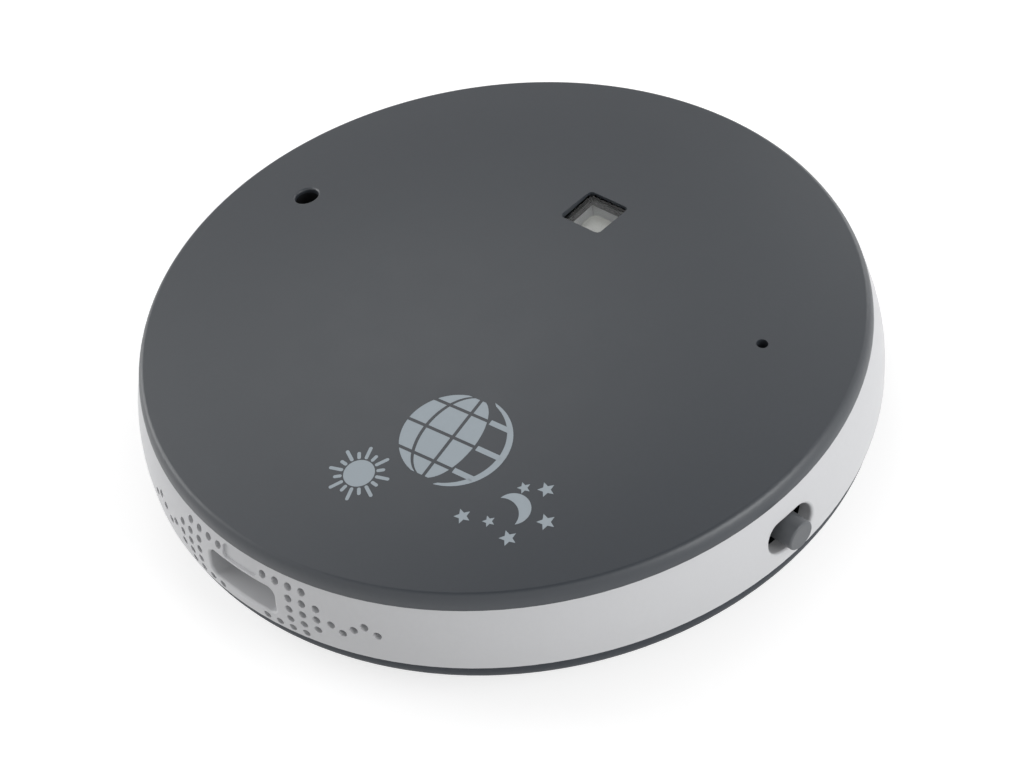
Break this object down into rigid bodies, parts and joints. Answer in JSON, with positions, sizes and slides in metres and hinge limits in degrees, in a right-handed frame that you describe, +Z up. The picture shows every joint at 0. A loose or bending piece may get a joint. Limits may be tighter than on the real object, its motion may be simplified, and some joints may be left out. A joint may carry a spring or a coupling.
{
  "type": "bed shaker alarm clock",
  "caption": "Flat round bed shaker alarm clock: domed slate cover with flash window, light side ring with sound outlet and slide switch, display and keys underneath.",
  "frame": {"origin": "on the puck's centre line, in the plane that the feet stand on", "axes": "+Z up through the domed cover, -Y towards the sound outlet, +X towards the slide switch"},
  "size_m": [0.1008, 0.0996, 0.0223],
  "materials": {
    "cover": "soft matte slate",
    "housing": "satin pale grey",
    "knob": "satin slate",
    "shutter": "matte black",
    "foot_rubber": "matte",
    "grey_rubber": "matte",
    "key_rubber": "matte",
    "lens": "clear",
    "lcd_window": "clear",
    "lcd_glass": "pale grey green display",
    "light_guide": "milky",
    "white_plastic": "glossy white",
    "black_plastic": "matte black",
    "bright_metal": "plated",
    "steel": "satin",
    "brass": "satin",
    "board": "green solder mask",
    "chip": "matte black",
    "ferrite": "dark ferrite",
    "cone_film": "matte black film",
    "cell_sleeve": "glossy plain sleeve",
    "lead_red": "insulated lead",
    "lead_black": "insulated lead",
    "weight": "sintered heavy metal",
    "led": "white light emitter"
  },
  "bodies": {
    "case": {"top_cover": "cover", "ring_housing": "housing", "bottom_cover": "cover", "flash_lens": "lens", "flash_reflector": "white_plastic", "flash_led": "led", "sensor_tube": "black_plastic", "light_sensor": "chip", "reset_switch": "bright_metal", "main_board": "board", "board_screws": "steel", "processor_chip": "chip", "motor_driver": "chip", "clock_crystal": "bright_metal", "capacitors": "bright_metal", "slide_switch_case": "bright_metal", "slide_switch_base": "black_plastic", "cell_rear": "cell_sleeve", "cell_front": "cell_sleeve", "contacts_left": "bright_metal", "contacts_right": "bright_metal", "battery_door": "cover", "door_screw": "steel", "feet": "foot_rubber", "case_screws": "steel", "display_window": "lcd_window", "display_glass": "lcd_glass", "display_light": "light_guide", "display_holder": "white_plastic", "contact_strips": "grey_rubber", "display_board": "board", "display_screws": "steel", "board_link": "black_plastic", "key_switches": "white_plastic", "motor_can": "bright_metal", "motor_bush": "brass", "motor_cap": "black_plastic", "motor_magnets": "ferrite", "shaft_bush": "brass", "motor_sleeve": "grey_rubber", "motor_clamp": "white_plastic", "speaker_frame": "black_plastic", "speaker_cone": "cone_film", "speaker_magnet": "bright_metal", "outlet_gasket": "grey_rubber", "motor_leads": "lead_red", "speaker_leads": "lead_black"},
    "slide_knob": {"slide_knob": "knob", "knob_shutter": "shutter"},
    "reset_plunger": {"reset_plunger": "black_plastic"},
    "motor_rotor": {"motor_shaft": "steel", "shaker_weight": "weight", "motor_armature": "steel"},
    "set_key_1": {"set_key_1": "key_rubber"},
    "set_key_2": {"set_key_2": "key_rubber"},
    "set_key_3": {"set_key_3": "key_rubber"},
    "set_key_4": {"set_key_4": "key_rubber"}
  },
  "joints": [
    {"name": "knob_slide", "type": "slide", "parent": "case", "child": "slide_knob", "axis": [0.1019, 0.9948, 0], "range_m": [-0.0016, 0.0016]},
    {"name": "reset_press", "type": "slide", "parent": "case", "child": "reset_plunger", "axis": [0, 0, -1], "range_m": [0, 0.00025], "stiffness_N_per_m": 4000, "springref_m": -0.0001},
    {"name": "motor_spin", "type": "hinge", "parent": "case", "child": "motor_rotor", "pos_m": [0, 0.0015, 0.0107], "axis": [1, 0, 0], "continuous": true},
    {"name": "key_press_1", "type": "slide", "parent": "case", "child": "set_key_1", "axis": [0, 0, 1], "range_m": [0, 0.0005], "stiffness_N_per_m": 2500, "springref_m": -0.0001},
    {"name": "key_press_2", "type": "slide", "parent": "case", "child": "set_key_2", "axis": [0, 0, 1], "range_m": [0, 0.0005], "stiffness_N_per_m": 2500, "springref_m": -0.0001},
    {"name": "key_press_3", "type": "slide", "parent": "case", "child": "set_key_3", "axis": [0, 0, 1], "range_m": [0, 0.0005], "stiffness_N_per_m": 2500, "springref_m": -0.0001},
    {"name": "key_press_4", "type": "slide", "parent": "case", "child": "set_key_4", "axis": [0, 0, 1], "range_m": [0, 0.0005], "stiffness_N_per_m": 2500, "springref_m": -0.0001}
  ]
}
